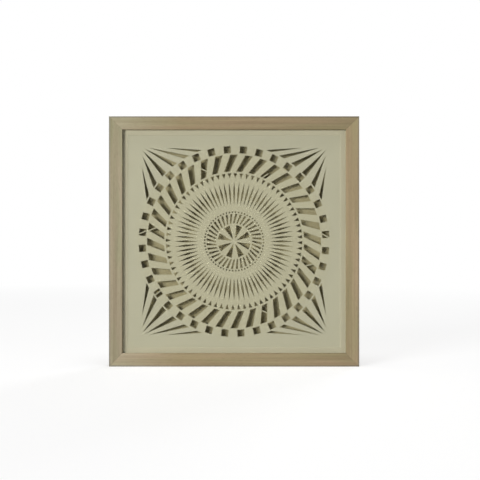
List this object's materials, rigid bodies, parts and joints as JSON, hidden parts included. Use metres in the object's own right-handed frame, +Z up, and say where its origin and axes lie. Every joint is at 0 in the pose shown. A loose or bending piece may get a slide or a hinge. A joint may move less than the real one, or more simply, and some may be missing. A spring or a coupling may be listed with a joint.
{
  "type": "paper shadow box art",
  "caption": "Square glazed wooden shadow box with a pierced paper medallion raised off a cream backing, and keyhole hangers on the back for hanging on a wall.",
  "frame": {"origin": "middle of the base, at half the depth, where the box stands on a shelf", "axes": "+Z up, -Y out of the front towards the viewer, +Y into the wall, +X to the viewer's right"},
  "size_m": [0.6, 0.038, 0.6],
  "materials": {
    "pale_wood": "plain pale wood, matt",
    "cream_paper": "heavy cream paper",
    "mat_card": "cream mat, bevel cut",
    "backing_card": "cream mount card",
    "spacer_card": "cream card-faced strip",
    "foam": "foam board",
    "glass": "clear float glass",
    "fibreboard": "bare fibreboard",
    "steel": "zinc plated",
    "felt": "felt"
  },
  "bodies": {
    "root": {"rail_top": "pale_wood", "rail_right": "pale_wood", "rail_bottom": "pale_wood", "rail_left": "pale_wood", "corner_nails": "steel", "glass_pane": "glass", "spacer_top": "spacer_card", "spacer_right": "spacer_card", "spacer_bottom": "spacer_card", "spacer_left": "spacer_card", "window_mat": "mat_card", "pierced_sheet": "cream_paper", "riser_top": "foam", "riser_right": "foam", "riser_bottom": "foam", "riser_left": "foam", "foam_pads": "foam", "support_strips": "foam", "backing_card": "backing_card", "back_panel": "fibreboard", "retainer_points": "steel", "hanger_left": "steel", "hanger_right": "steel", "hanger_screws": "steel", "wall_bumpers": "felt"}
  },
  "joints": []
}
